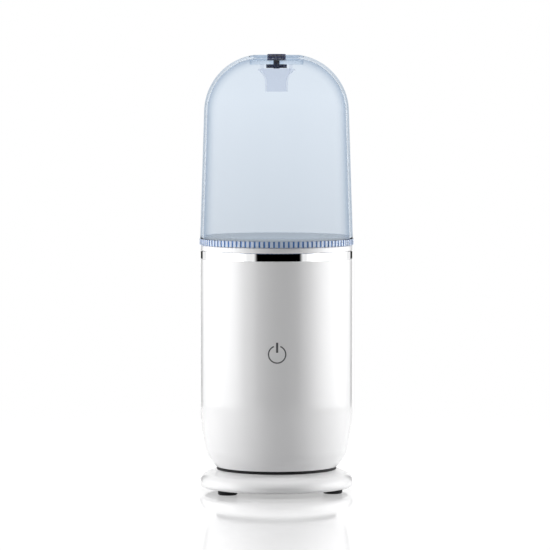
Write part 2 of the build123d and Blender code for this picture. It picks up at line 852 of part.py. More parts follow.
def divider_wing(low):
    """One upright vane along X, with its two windows and a round outer corner."""
    reach = basket_bore - divider_gap
    vane = Pos(reach / 2, 0, 0) * block((reach, divider_vane, divider_height), low)
    outline = Plane.XZ * RectangleRounded(*divider_window, divider_window_round)
    window = extrude(outline, amount=divider_vane, both=True)
    for level in divider_window_levels:
        vane -= Pos(reach / 2 + divider_window_shift, 0, low + level * divider_height) * window
    corner = vane.edges().filter_by(Axis.Y).sort_by(Axis.Z)[-2:].sort_by(Axis.X)[-1]
    return fillet(corner, divider_corner_round)


def basket_divider():
    """Three vanes on a post, with a knob to lift the basket by."""
    low = basket_floor_top + seat_gap
    knob_low = lip_top - divider_knob_drop
    vanes = around(divider_wing(low), 0, even_angles(divider_vane_count, 90.0))
    return vanes + rod(divider_post_radius, low, knob_low) + knob(knob_low)


def knob(low):
    """A ball knob on a flared neck."""
    neck = divider_post_radius
    ball = divider_knob_radius
    middle = low + divider_knob_height - ball
    spread, rise = divider_knob_waist
    waist = (neck + spread * (ball - neck), low + rise * (middle - low))
    return spun(
        Line((0, low), (neck, low)),
        ThreePointArc((neck, low), waist, (ball, middle)),
        arc_about((0, middle), ball, 0, 90),
        Line((0, low + divider_knob_height), (0, low)),
    )


# ---------------------------------------------------------------- lid
def dome_side(inset, last_radius):
    """Edges of the dome's drafted side and round shoulder, set in by a wall, up to a radius."""
    foot = (dome_radius - inset / cos(draft), rim_top)
    radius = dome_shoulder_radius - inset
    centre = (dome_centre_x, dome_centre_z)
    last = degrees(acos((last_radius - dome_centre_x) / radius))
    return [Line(foot, on_circle(centre, radius, dome_draft)), arc_about(centre, radius, dome_draft, last)]


def lid_dome():
    """The clear dome, with the round recess for the vent in its crown."""
    outside = dome_side(0, recess_radius)
    inner_radius = recess_radius + dome_wall
    inside = dome_side(dome_wall, inner_radius)
    corner_z = recess_base + recess_corner
    corner_x = recess_radius - recess_corner
    shell = spun(
        *outside,
        Line((recess_radius, recess_top), (recess_radius, corner_z)),
        arc_about((corner_x, corner_z), recess_corner, 0, -90),
        Line((corner_x, recess_base), (0, recess_base)),
        Line((0, recess_base), (0, ceiling)),
        Line((0, ceiling), (inner_radius, ceiling)),
        Line((inner_radius, ceiling), inside[-1] @ 1),
        *inside,
        Line(inside[0] @ 0, outside[0] @ 0),
    )
    shell = fillet(circles_at(shell, recess_top).sort_by(SortBy.RADIUS)[0], recess_edge_round)
    stem = rod(vent_stem_radius + seat_gap, ceiling - past, recess_base + past)
    port = rod(vent_port_radius, ceiling - past, recess_base + past)
    return shell - stem - around(port, vent_port_circle, even_angles(vent_port_count))


def ribbed_band():
    """The lid's foot band, with upright ribs all round."""
    pitch = 360.0 / rim_rib_count
    crest = pitch * rim_rib_share / 2
    root = crest * rim_rib_flank
    valley_radius = rim_radius - rim_rib_depth
    points = []
    for start in even_angles(rim_rib_count):
        points.append(on_circle((0, 0), rim_radius, start - crest))
        points.append(on_circle((0, 0), rim_radius, start + crest))
        points.append(on_circle((0, 0), valley_radius, start + root))
        points.append(on_circle((0, 0), valley_radius, start + pitch - root))
    outline = make_face(Polyline(*points, close=True))
    band = Pos(0, 0, rim_low) * extrude(outline, amount=rim_band_height)
    return band - rod(dome_bore, rim_low - past, rim_top + past)


def lid_rim():
    """The ribbed ring under the dome, with the plug that drops into the liner's mouth."""
    bore = plug_radius - plug_thickness
    web_top = rim_low + rim_web
    lap = dome_bore + rim_lap
    bead_out = rim_bead_radius
    bead_in = bead_out - rim_bead[0]
    bead_top = rim_top + rim_bead[1]
    ring = spun_points(
        (bore, plug_low), (plug_radius, plug_low), (plug_radius, rim_low), (lap, rim_low),
        (lap, rim_top), (bead_out, rim_top), (bead_out, bead_top), (bead_in, bead_top),
        (bead_in, web_top), (bore, web_top),
    )
    groove = tube(plug_radius - seal_depth, plug_radius + past, seal_low - seal_play,
                  seal_low + seal_height + seal_play)
    pocket = rod(magnet_radius + seat_gap, web_top - magnet_sink, bead_top + past)
    return ring + ribbed_band() - groove - at(magnet_circle, magnet_angle) * pocket


def lid_seal():
    """The silicone ring in the plug's groove, with its round lip."""
    inner = plug_radius - seal_depth + seal_play / 2
    face = plug_radius - seal_play
    seal_high = seal_low + seal_height
    lip = (mouth_radius - 2 * seal_play, (seal_low + seal_high) / 2)
    return spun(
        Line((inner, seal_low), (inner, seal_high)),
        Line((inner, seal_high), (face, seal_high)),
        ThreePointArc((face, seal_high), lip, (face, seal_low)),
        Line((face, seal_low), (inner, seal_low)),
    )


def lid_magnet():
    low = rim_low + rim_web - magnet_sink
    return at(magnet_circle, magnet_angle) * rod(magnet_radius, low, low + magnet_height)


def vent_cap():
    """The dark cap in the lid's recess, a cup on a stem with small air windows."""
    high = recess_base + vent_cap_height
    inner = vent_cap_radius - vent_cap_wall
    cap = rod(vent_cap_radius, recess_base, high) - rod(inner, recess_base - past, high - vent_cap_wall)
    cap = fillet(circles_at(cap, high), vent_cap_round)
    window_low = recess_base + (vent_cap_height - vent_window[1]) / 2
    window = block((4 * vent_cap_wall, *vent_window))
    angles = even_angles(vent_window_count, 180.0 / vent_window_count)
    cap -= around(window, inner, angles, window_low)
    return cap + rod(vent_stem_radius, ceiling - nut_height - vent_stem_end, high - vent_cap_wall)


def vent_nut():
    """The round nut that holds the cap from inside, with slots that keep the air ports open."""
    nut = tube(vent_stem_radius + seat_gap, nut_radius, ceiling - nut_height, ceiling)
    slot = block((*nut_slot, nut_height + 2 * past), ceiling - nut_height - past)
    return nut - around(slot, vent_port_circle + nut_slot_shift, even_angles(vent_port_count))


def vent_funnel():
    """The clear flared funnel under the vent, on short legs."""
    high = ceiling - funnel_drop
    low = high - funnel_height
    knee = high - funnel_flare_height
    spread = funnel_rim_radius - funnel_neck_radius
    flare = (spread**2 + funnel_flare_height**2) / (2 * spread)
    centre = (funnel_neck_radius + flare, knee)
    last = degrees(acos((spread - flare) / flare))
    bore = funnel_neck_radius - funnel_wall
    cone = spun(
        arc_about(centre, flare, 180, last),
        Line(on_circle(centre, flare, last), on_circle(centre, flare + funnel_wall, last)),
        arc_about(centre, flare + funnel_wall, last, 180),
        Line((bore, knee), (bore, low)),
        Line((bore, low), (funnel_neck_radius, low)),
        Line((funnel_neck_radius, low), (funnel_neck_radius, knee)),
    )
    leg = rod(funnel_leg_radius, high - funnel_wall, ceiling)
    return cone + around(leg, funnel_rim_radius - funnel_leg_inset, funnel_leg_angles)


# ---------------------------------------------------------------- all pieces
PIECES = (
    outer_casing, trim_ring, inner_liner, base_shell, neck_ring, bottom_cover, rubber_feet,
    cover_screws, neck_screws, post_screws, chassis_plate, fan_frame, fan_bush, fan_stator,
    fan_rotor, fan_shaft, fan_magnet, heater_frame, ptc_heater, main_board, board_parts,
    battery_pack, usb_port, usb_carrier, touch_key_board, touch_pad, lid_sensor, uv_boards,
    uv_leds, uv_windows, basket_sleeve, basket_floor, basket_divider, drip_cup, lid_dome,
    lid_rim, lid_seal, lid_magnet, vent_cap, vent_nut, vent_funnel,
)

os.makedirs("parts", exist_ok=True)
for make in PIECES:
    export_step(make(), f"parts/{make.__name__}.step")
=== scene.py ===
import math

import bmesh
import bpy
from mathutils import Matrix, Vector


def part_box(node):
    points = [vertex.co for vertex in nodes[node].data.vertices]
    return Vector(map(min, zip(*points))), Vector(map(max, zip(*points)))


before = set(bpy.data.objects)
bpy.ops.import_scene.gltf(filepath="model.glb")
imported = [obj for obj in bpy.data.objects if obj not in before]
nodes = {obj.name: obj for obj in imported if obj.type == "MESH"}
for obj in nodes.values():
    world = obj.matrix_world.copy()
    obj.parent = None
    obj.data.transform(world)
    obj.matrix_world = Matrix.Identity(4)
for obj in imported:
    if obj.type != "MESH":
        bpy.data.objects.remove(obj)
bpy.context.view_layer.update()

# ---------------------------------------------------------------- studio, in metres
CAMERA_PLACE = (-0.0011, -2.480, 0.295)
CAMERA_TILT = 3.19  # degrees down
CAMERA_LENS = 224.4  # millimetres
CAMERA_SENSOR = 36.0  # millimetres across

FLOOR_RADIUS = 0.62
FLOOR_SEGMENTS = 96
FLOOR_FADE = (0.16, 0.60)  # from the object's axis: where the fade to plain white starts and ends
FLOOR_COLOUR = (0.36, 0.36, 0.365, 1)
FLOOR_ROUGH = (0.06, 0.09)
FLOOR_GLOW = 0.38  # how pale the floor looks by itself
FLOOR_SHINE = (0.60, 0.78)  # how pale it looks in reflections, at front and rear, and at the sides
FLOOR_BOUNCE = 0.03  # the light that its sides throw up on matt surfaces
FLOOR_SIDES = (0.35, 0.80)  # a place's sideways share of its distance: front and rear, and the sides
FLOOR_CARD = 0.28  # sideways share within which plating mirrors a dark floor
FLOOR_CARD_DEPTH = 0.95
FLOOR_MIDDLE = 0.001  # keeps the shares finite at the floor's middle

SIDE_LAMP_SIZE = (0.80, 1.40)
SIDE_LAMP_DISTANCE = 1.30
SIDE_LAMP_HEIGHT = 0.34
SIDE_LAMP_TURNS = {"left_softbox": -76.0, "right_softbox": 87.0}  # degrees off the front
SIDE_LAMP_POWER = 21.0
TOP_LAMP_SIZE = (1.0, 1.0)
TOP_LAMP_PLACE = (0, 0.001, 1.60)
TOP_LAMP_POWER = 12.0
AIM = Vector((0, 0, 0.16))

# the room's cards and sides lie at these x, y and z shares of the way a ray goes
ROOM_GREY = 0.105  # the room's light on matt surfaces
SIDE_SHINE = 2.0  # how much brighter the room's sides are in reflections
SIDE_REACH = (0.68, 0.97)
FRONT_CARD = (0.79, 0.85)
FRONT_CARD_TURN = math.radians(3.0)
REAR_CARD_INNER = (0.25, 0.28)
REAR_CARD_OUTER = (0.47, 0.53)
CARD_HEIGHT = 0.35

# ---------------------------------------------------------------- colours
PLAIN_WHITE = (1, 1, 1, 1)
WHITE = (0.87, 0.87, 0.875, 1)
SHADE_WHITE = (0.80, 0.80, 0.80, 1)
LAMP_BOARD_WHITE = (0.82, 0.82, 0.82, 1)
BASKET_WHITE = (0.84, 0.85, 0.86, 1)
CUP_WHITE = (0.80, 0.83, 0.87, 1)
SILICONE = (0.78, 0.80, 0.82, 1)
HEAT_CREAM = (0.74, 0.71, 0.62, 1)
NEAR_BLACK = (0.006, 0.006, 0.007, 1)
FAN_FRAME_BLACK = (0.03, 0.03, 0.032, 1)
FAN_ROTOR_BLACK = (0.035, 0.035, 0.04, 1)
MAGNET_GREY = (0.07, 0.07, 0.075, 1)
FOAM_GREY = (0.05, 0.05, 0.055, 1)
CHASSIS_GREY = (0.30, 0.31, 0.33, 1)
PRINT_GREY = (0.10, 0.10, 0.105, 1)
PLATING = (0.88, 0.885, 0.89, 1)
DARK_NICKEL = (0.14, 0.14, 0.15, 1)
STEEL = (0.62, 0.62, 0.64, 1)
BRIGHT_STEEL = (0.68, 0.68, 0.70, 1)
BRONZE = (0.60, 0.40, 0.20, 1)
COPPER = (0.72, 0.32, 0.15, 1)
FIN_GREY = (0.70, 0.71, 0.73, 1)
FIN_CERAMIC = (0.80, 0.78, 0.74, 1)
FOIL = ((0.70, 0.72, 0.74, 1), (0.52, 0.54, 0.56, 1))
CHIP = ((0.018, 0.018, 0.02, 1), (0.05, 0.05, 0.055, 1))
LAMP_CERAMIC = ((0.88, 0.87, 0.80, 1), (0.80, 0.79, 0.74, 1))
BOARD_GREEN = (0.015, 0.12, 0.04, 1)
GAP_GREEN = (0.05, 0.22, 0.08, 1)
CAP_NAVY = (0.006, 0.013, 0.075, 1)
NUT_NAVY = (0.012, 0.018, 0.05, 1)
CLEAR_BLUE = (0.858, 0.902, 0.950, 1)
EDGE_BLUE = (0.22, 0.34, 0.49, 1)
CLEAR_VIOLET = (0.89, 0.90, 0.935, 1)
EDGE_VIOLET = (0.72, 0.74, 0.82, 1)
QUARTZ = (0.92, 0.94, 0.98, 1)
EDGE_QUARTZ = (0.80, 0.84, 0.92, 1)
RIB_BLUE = (0.74, 0.84, 0.99, 1)
# the ribs' valleys, darkened as painted shade
RIB_VALLEY_SHADE = (0.15, 0.33, 0.74, 1)
RING_INSIDE = (0.95, 0.97, 0.99, 1)

NOISE_REACH = (0.3, 0.7)  # a noise texture's values lie between these, but for a few


# ---------------------------------------------------------------- node helpers
class Nodes:
    """A node tree under construction."""

    def __init__(self, tree):
        self.tree = tree

    def add(self, kind, **settings):
        node = self.tree.nodes.new(kind)
        for key, value in settings.items():
            setattr(node, key, value)
        return node

    def feed(self, target, value):
        """A socket takes another node's output, or a plain value."""
        if isinstance(value, bpy.types.NodeSocket):
            self.tree.links.new(value, target)
        else:
            target.default_value = value

    def math(self, operation, first, second=0.0, clamp=False):
        node = self.add("ShaderNodeMath", operation=operation, use_clamp=clamp)
        self.feed(node.inputs[0], first)
        self.feed(node.inputs[1], second)
        return node.outputs[0]

    def ranged(self, value, low, high, start=0.0, end=1.0, way="LINEAR"):
        """low up to start, high from end, and a straight or eased way between them."""
        node = self.add("ShaderNodeMapRange", interpolation_type=way)
        self.feed(node.inputs["Value"], value)
        reach = {"From Min": start, "From Max": end, "To Min": low, "To Max": high}
        for socket, number in reach.items():
            node.inputs[socket].default_value = number
        return node.outputs["Result"]

    def eased(self, value, low, high, start, end):
        return self.ranged(value, low, high, start, end, "SMOOTHSTEP")

    def blend(self, share, first, second):
        """A colour between two, by a share."""
        node = self.add("ShaderNodeMix", data_type="RGBA")
        self.feed(node.inputs["Factor"], share)
        ends = [socket for socket in node.inputs if socket.type == "RGBA"]
        for socket, value in zip(ends, (first, second)):
            self.feed(socket, value)
        return next(socket for socket in node.outputs if socket.type == "RGBA")

    def parts(self, vector):
        """A vector's x, y and z."""
        node = self.add("ShaderNodeSeparateXYZ")
        self.feed(node.inputs["Vector"], vector)
        return node.outputs["X"], node.outputs["Y"], node.outputs["Z"]

    def length(self, first, second):
        squares = [self.math("MULTIPLY", side, side) for side in (first, second)]
        return self.math("SQRT", self.math("ADD", *squares))

    def rays(self):
        """Whether a ray is seen, also through clear plastic, is mirrored, or lights matt."""
        path = self.add("ShaderNodeLightPath").outputs
        through = path["Is Transmission Ray"]
        seen = self.math("MAXIMUM", path["Is Camera Ray"], through)
        mirrored = self.math("SUBTRACT", path["Is Glossy Ray"], through, clamp=True)
        matt = self.math("SUBTRACT", 1.0, self.math("MAXIMUM", seen, mirrored))
        return seen, mirrored, matt


class Finish(Nodes):
    """A material under construction, with its shader and the object's own coordinates."""

    def __init__(self, name, colour, rough):
        self.material = bpy.data.materials.new(name)
        self.material.use_nodes = True
        self.material.diffuse_color = colour
        super().__init__(self.material.node_tree)
        self.shader = self.tree.nodes["Principled BSDF"]
        self.place = self.add("ShaderNodeTexCoord").outputs["Object"]
        self.give("Base Color", colour)
        self.give("Roughness", rough)

    def give(self, socket, value):
        self.feed(self.shader.inputs[socket], value)

    def noise(self, scale, detail, stretch=None):
        node = self.add("ShaderNodeTexNoise")
        node.inputs["Scale"].default_value = scale
        node.inputs["Detail"].default_value = detail
        source = self.place
        if stretch:
            mapping = self.add("ShaderNodeMapping")
            mapping.inputs["Scale"].default_value = stretch
            self.feed(mapping.inputs["Vector"], source)
            source = mapping.outputs["Vector"]
        self.feed(node.inputs["Vector"], source)
        return node.outputs["Fac"]

    def drift(self, first, second, scale, detail):
        """A colour that wanders between two."""
        share = self.ranged(self.noise(scale, detail), 0.0, 1.0, *NOISE_REACH)
        return self.blend(share, first, second)

    def wander(self, low, high, scale, detail, stretch=None):
        """A roughness that wanders between two."""
        marks = self.noise(scale, detail, stretch)
        self.give("Roughness", self.ranged(marks, low, high, *NOISE_REACH))

    def bump(self, height, strength, depth):
        node = self.add("ShaderNodeBump")
        node.inputs["Strength"].default_value = strength
        node.inputs["Distance"].default_value = depth
        self.feed(node.inputs["Height"], height)
        self.give("Normal", node.outputs["Normal"])


def shaded(colour, share):
    return tuple(part * share for part in colour[:3]) + (1,)


# ---------------------------------------------------------------- plain finishes
def moulded(
    name, colour, rough=0.32, gloss=0.5, coat=0.0, grain=900.0, depth=0.00002, strength=0.12
):
    """Moulded plastic: a faint tone drift, a roughness that wanders, and the mould's fine skin."""
    made = Finish(name, colour, rough)
    made.give("Specular IOR Level", gloss)
    made.give("Coat Weight", coat)
    made.give("Coat Roughness", 0.04)
    made.give("Base Color", made.drift(colour, shaded(colour, 0.965), scale=14.0, detail=2.0))
    made.wander(rough - 0.05, rough + 0.05, scale=55.0, detail=4.0)
    made.bump(made.noise(grain, detail=2.0), strength, depth)
    return made


def metal(name, colour, rough, scale=260.0, stretch=None, spread=0.05, strength=0.1):
    """Bare or plated metal with fine tool marks, packed closer along an axis by a stretch."""
    made = Finish(name, colour, rough)
    made.give("Metallic", 1.0)
    made.give("Base Color", made.drift(colour, shaded(colour, 0.93), scale=30.0, detail=3.0))
    made.wander(rough - spread, rough + spread, scale, detail=4.0, stretch=stretch)
    made.bump(made.noise(scale, detail=4.0, stretch=stretch), strength, depth=0.00001)
    return made


def rubber(name, colour, rough=0.7, gloss=0.5):
    """Rubber or foam, with a coarse dull skin."""
    made = Finish(name, colour, rough)
    made.give("Specular IOR Level", gloss)
    made.give("Base Color", made.drift(colour, shaded(colour, 1.5), scale=60.0, detail=4.0))
    made.wander(rough - 0.1, rough + 0.1, scale=1300.0, detail=2.0)
    made.bump(made.noise(scale=1300.0, detail=2.0), strength=0.3, depth=0.00004)
    return made


def mottled(name, colours, rough, scale, detail, strength, depth):
    """One noise for colour, roughness and skin, as in creases and in ceramic grain."""
    made = Finish(name, colours[0], rough[0])
    made.give("Base Color", made.drift(*colours, scale, detail))
    made.wander(*rough, scale, detail)
    made.bump(made.noise(scale, detail), strength, depth)
    return made


def foil_pouch():
    creases = {"scale": 90.0, "detail": 6.0, "strength": 0.35, "depth": 0.0003}
    made = mottled("battery_foil", FOIL, (0.25, 0.50), **creases)
    made.give("Metallic", 1.0)
    return made


def chip_bodies():
    grain = {"scale": 700.0, "detail": 3.0, "strength": 0.25, "depth": 0.00003}
    return mottled("component_black", CHIP, (0.4, 0.6), **grain)


def lamp_packages():
    grain = {"scale": 900.0, "detail": 2.0, "strength": 0.1, "depth": 0.00002}
    return mottled("lamp_ceramic", LAMP_CERAMIC, (0.3, 0.5), **grain)


# ---------------------------------------------------------------- the lid's clear plastic
THIN_INDEX = 1.03  # near air's, so that thin walls hardly bend what shows through them
CLEAR_COAT_ROUGH = 0.03
CLEAR_ROUGH = (0.01, 0.03)
CLEAR_ROUGH_REACH = (0.45, 0.80)
EDGE_START = 0.45  # how far a clear wall turns away before it darkens
EDGE_POWER = 1.5
DOME_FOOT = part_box("lid_dome")[0].z
FOOT_SHADE = 0.91  # the dome's painted shade at its foot: its tint there, against its crown's
FOOT_START = 0.0016  # above the dome's lowest edge
FOOT_FADE = 0.10  # the height in which the foot's painted shade gives way to the crown's tint
FOOT_REACH = (DOME_FOOT + FOOT_START, DOME_FOOT + FOOT_START + FOOT_FADE)

RIB_DEPTH = 0.00055
RIB_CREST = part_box("lid_rim")[1].x
RIB_FOOT = RIB_CREST - RIB_DEPTH
RIB_MARGIN = 0.0003  # the ring's inner faces all lie deeper under the ribs than this
RIBBED_FROM = RIB_FOOT - RIB_MARGIN
RIB_CLARITY = 0.25
RIB_ROUGH = 0.10
RING_INSIDE_ROUGH = 0.40


def clear_wall(name, tint, rough, index, coat):
    """Clear plastic's shader, with faint moulding ripples."""
    made = Finish(name, tint, rough)
    made.give("IOR", index)
    made.give("Coat Weight", coat)
    made.give("Coat Roughness", CLEAR_COAT_ROUGH)
    made.bump(made.noise(scale=60.0, detail=1.0), strength=0.02, depth=0.0001)
    return made


def edge_tint(made, tint, edge, foot=None):
    """A clear wall's colour: deeper where it is seen edge on and, with a foot given, darker low down
    as painted shade.
    """
    plain = made.drift(tint, shaded(tint, 0.985), scale=9.0, detail=2.0)
    # with a foot given, the wall's colour is darkened towards its foot: painted shade for the dimmer
    # light there
    if foot:
        height = made.parts(made.place)[2]
        plain = made.blend(made.ranged(height, 0.0, 1.0, *FOOT_REACH), shaded(tint, foot), plain)
    facing = made.add("ShaderNodeLayerWeight").outputs["Facing"]
    turned = made.math("POWER", made.ranged(facing, 0.0, 1.0, EDGE_START, 1.0), EDGE_POWER)
    return made.blend(turned, plain, edge)


def clear(name, tint, edge, index, coat, foot=None):
    """Clear tinted plastic with a trace of haze."""
    made = clear_wall(name, tint, CLEAR_ROUGH[0], index, coat)
    made.give("Transmission Weight", 1.0)
    made.give("Base Color", edge_tint(made, tint, edge, foot))
    haze = made.noise(scale=40.0, detail=4.0)
    made.give("Roughness", made.ranged(haze, *CLEAR_ROUGH, *CLEAR_ROUGH_REACH))
    return made


def ribbed_ring():
    """The lid's foot ring: frosted inside, part clear blue outside, with painted shade deepening its
    colour between its ribs.
    """
    made = clear_wall("rim_clear_blue", RING_INSIDE, RIB_ROUGH, index=1.30, coat=0.2)
    x, y, _ = made.parts(made.place)
    radius = made.length(x, y)
    # painted shade: the colour darkens from the ribs' crests down into their valleys
    ribs = made.blend(made.ranged(radius, 1.0, 0.0, RIB_FOOT, RIB_CREST), RIB_BLUE, RIB_VALLEY_SHADE)
    outside = made.math("GREATER_THAN", radius, RIBBED_FROM)
    made.give("Base Color", made.blend(outside, edge_tint(made, RING_INSIDE, RIB_BLUE), ribs))
    made.give("Transmission Weight", made.math("MULTIPLY", outside, RIB_CLARITY))
    made.give("Roughness", made.ranged(outside, RING_INSIDE_ROUGH, RIB_ROUGH))
    return made


# ---------------------------------------------------------------- the white housing and its key
KEY_LOW, KEY_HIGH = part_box("touch_pad")
KEY_HEIGHT = (KEY_LOW.z + KEY_HIGH.z) / 2
KEY_SIDE = 0.0004
SIGN_RADIUS = 0.0061
SIGN_LINE = 0.00045  # half of a line's width
SIGN_GAP = 0.40  # half of the gap, as x over z
BAR_LINE = 0.00075
BAR_MIDDLE = 0.0048  # above the key's centre
BAR_HALF = 0.0036
SOFT_EDGE = 0.00012


def power_sign(made):
    """The share of print at a point: a ring that is open at the top, and an upright bar."""

    def within(distance, reach):
        return made.ranged(distance, 1.0, 0.0, reach - SOFT_EDGE, reach + SOFT_EDGE)

    x, y, z = made.parts(made.place)
    x = made.math("SUBTRACT", x, KEY_SIDE)
    z = made.math("SUBTRACT", z, KEY_HEIGHT)
    side = made.math("ABSOLUTE", x)
    from_ring = made.math("ABSOLUTE", made.math("SUBTRACT", made.length(x, z), SIGN_RADIUS))
    past_gap = made.math("SUBTRACT", side, made.math("MULTIPLY", z, SIGN_GAP))
    kept = made.ranged(past_gap, 0.0, 1.0, -SOFT_EDGE, SOFT_EDGE)
    ring = made.math("MULTIPLY", within(from_ring, SIGN_LINE), kept)
    from_middle = made.math("ABSOLUTE", made.math("SUBTRACT", z, BAR_MIDDLE))
    bar = made.math("MULTIPLY", within(side, BAR_LINE), within(from_middle, BAR_HALF))
    front = made.math("LESS_THAN", y, 0.0)
    return made.math("MULTIPLY", made.math("MAXIMUM", ring, bar), front)


def gloss_white(name):
    """High-gloss white housing plastic."""
    made = Finish(name, WHITE, rough=0.22)
    made.give("Coat Weight", 0.6)
    made.give("Coat Roughness", 0.05)
    made.give("Base Color", made.drift(WHITE, shaded(WHITE, 0.985), scale=8.0, detail=2.0))
    made.wander(0.19, 0.27, scale=35.0, detail=5.0)
    made.bump(made.noise(scale=180.0, detail=1.0), strength=0.02, depth=0.00004)
    return made


def printed_casing():
    """The housing's white, with the key's sign printed on it."""
    made = gloss_white("casing_gloss_white")
    plain = made.shader.inputs["Base Color"].links[0].from_socket
    made.give("Base Color", made.blend(power_sign(made), plain, PRINT_GREY))
    return made


# ---------------------------------------------------------------- boards, motor and heater
TRACKS_PER_METRE = 220.0
TRACK_GAP = 0.06
DOTS_PER_METRE = 420.0
DOT_EDGE = (0.10, 0.16)
WIRES_PER_METRE = 900.0
SHOE_REACH = 0.0014  # the poles' bare shoes, and a little more
WINDING_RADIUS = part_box("fan_stator")[1].x - SHOE_REACH
CERAMIC_HALF = 0.0015  # half of the bar between the heater's two banks of fins
FIN_STRETCH = (6.0, 1.0, 1.0)


def circuit_board():
    """Green board with paler lines between its tracks, and bare solder dots."""
    made = Finish("board_green", BOARD_GREEN, rough=0.35)
    made.give("Coat Weight", 0.4)
    track = made.add("ShaderNodeTexBrick")
    track.inputs["Scale"].default_value = TRACKS_PER_METRE
    track.inputs["Mortar Size"].default_value = TRACK_GAP
    track.inputs["Color1"].default_value = BOARD_GREEN
    track.inputs["Color2"].default_value = shaded(BOARD_GREEN, 0.75)
    track.inputs["Mortar"].default_value = GAP_GREEN
    made.feed(track.inputs["Vector"], made.place)
    dots = made.add("ShaderNodeTexVoronoi", feature="F1")
    dots.inputs["Scale"].default_value = DOTS_PER_METRE
    made.feed(dots.inputs["Vector"], made.place)
    solder = made.ranged(dots.outputs["Distance"], 1.0, 0.0, *DOT_EDGE)
    made.give("Base Color", made.blend(solder, track.outputs["Color"], STEEL))
    made.wander(0.28, 0.42, scale=120.0, detail=3.0)
    made.bump(track.outputs["Fac"], strength=0.2, depth=0.00003)
    return made


def wound_stator():
    """Laminated steel with copper turns between its poles."""
    made = Finish("stator_steel_and_copper", STEEL, rough=0.35)
    made.give("Metallic", 1.0)
    turns = made.add("ShaderNodeTexWave", wave_type="BANDS", bands_direction="Z")
    turns.inputs["Scale"].default_value = WIRES_PER_METRE
    made.feed(turns.inputs["Vector"], made.place)
    x, y, _ = made.parts(made.place)
    wound = made.math("LESS_THAN", made.length(x, y), WINDING_RADIUS)
    made.give("Base Color", made.blend(wound, STEEL, COPPER))
    made.wander(0.28, 0.42, scale=300.0, detail=2.0)
    made.bump(turns.outputs["Fac"], strength=0.5, depth=0.00008)
    return made


def finned_heater():
    """Aluminium fins with the pale ceramic bar between the two banks."""
    made = Finish("heater_fins", STEEL, rough=0.3)
    y = made.parts(made.place)[1]
    ceramic = made.math("LESS_THAN", made.math("ABSOLUTE", y), CERAMIC_HALF)
    made.give("Base Color", made.blend(ceramic, FIN_GREY, FIN_CERAMIC))
    made.give("Metallic", made.math("SUBTRACT", 1.0, ceramic))
    marks = {"scale": 200.0, "detail": 3.0, "stretch": FIN_STRETCH}
    made.wander(0.22, 0.40, **marks)
    made.bump(made.noise(**marks), strength=0.15, depth=0.00003)
    return made


# ---------------------------------------------------------------- what each piece is finished in
ROUND_THE_MAGNET = (1.0, 1.0, 6.0)
ROUND_THE_SHAFT = (1.0, 1.0, 30.0)
ROUND_THE_INLET = (1.0, 14.0, 1.0)
SCREWS = ("cover_screws", "neck_screws", "post_screws")


def plated_ring():
    marks = {"scale": 60.0, "stretch": (1.0, 1.0, 12.0), "spread": 0.02, "strength": 0.01}
    return metal("plated_ring", PLATING, rough=0.04, **marks)


def basket_white():
    return moulded("basket_white", BASKET_WHITE, rough=0.28, coat=0.3)


def cover_white():
    skin = {"grain": 1500.0, "depth": 0.00005, "strength": 0.35}
    return moulded("cover_white", SHADE_WHITE, rough=0.55, **skin)


def ground_shaft():
    return metal("ground_steel", BRIGHT_STEEL, rough=0.18, scale=90.0, stretch=ROUND_THE_SHAFT)


def clear_dome():
    tints = (CLEAR_BLUE, EDGE_BLUE)
    return clear("dome_clear_blue", *tints, index=THIN_INDEX, coat=0.12, foot=FOOT_SHADE)


def clear_funnel():
    tints = (CLEAR_VIOLET, EDGE_VIOLET)
    return clear("funnel_clear_violet", *tints, index=THIN_INDEX, coat=0.06)


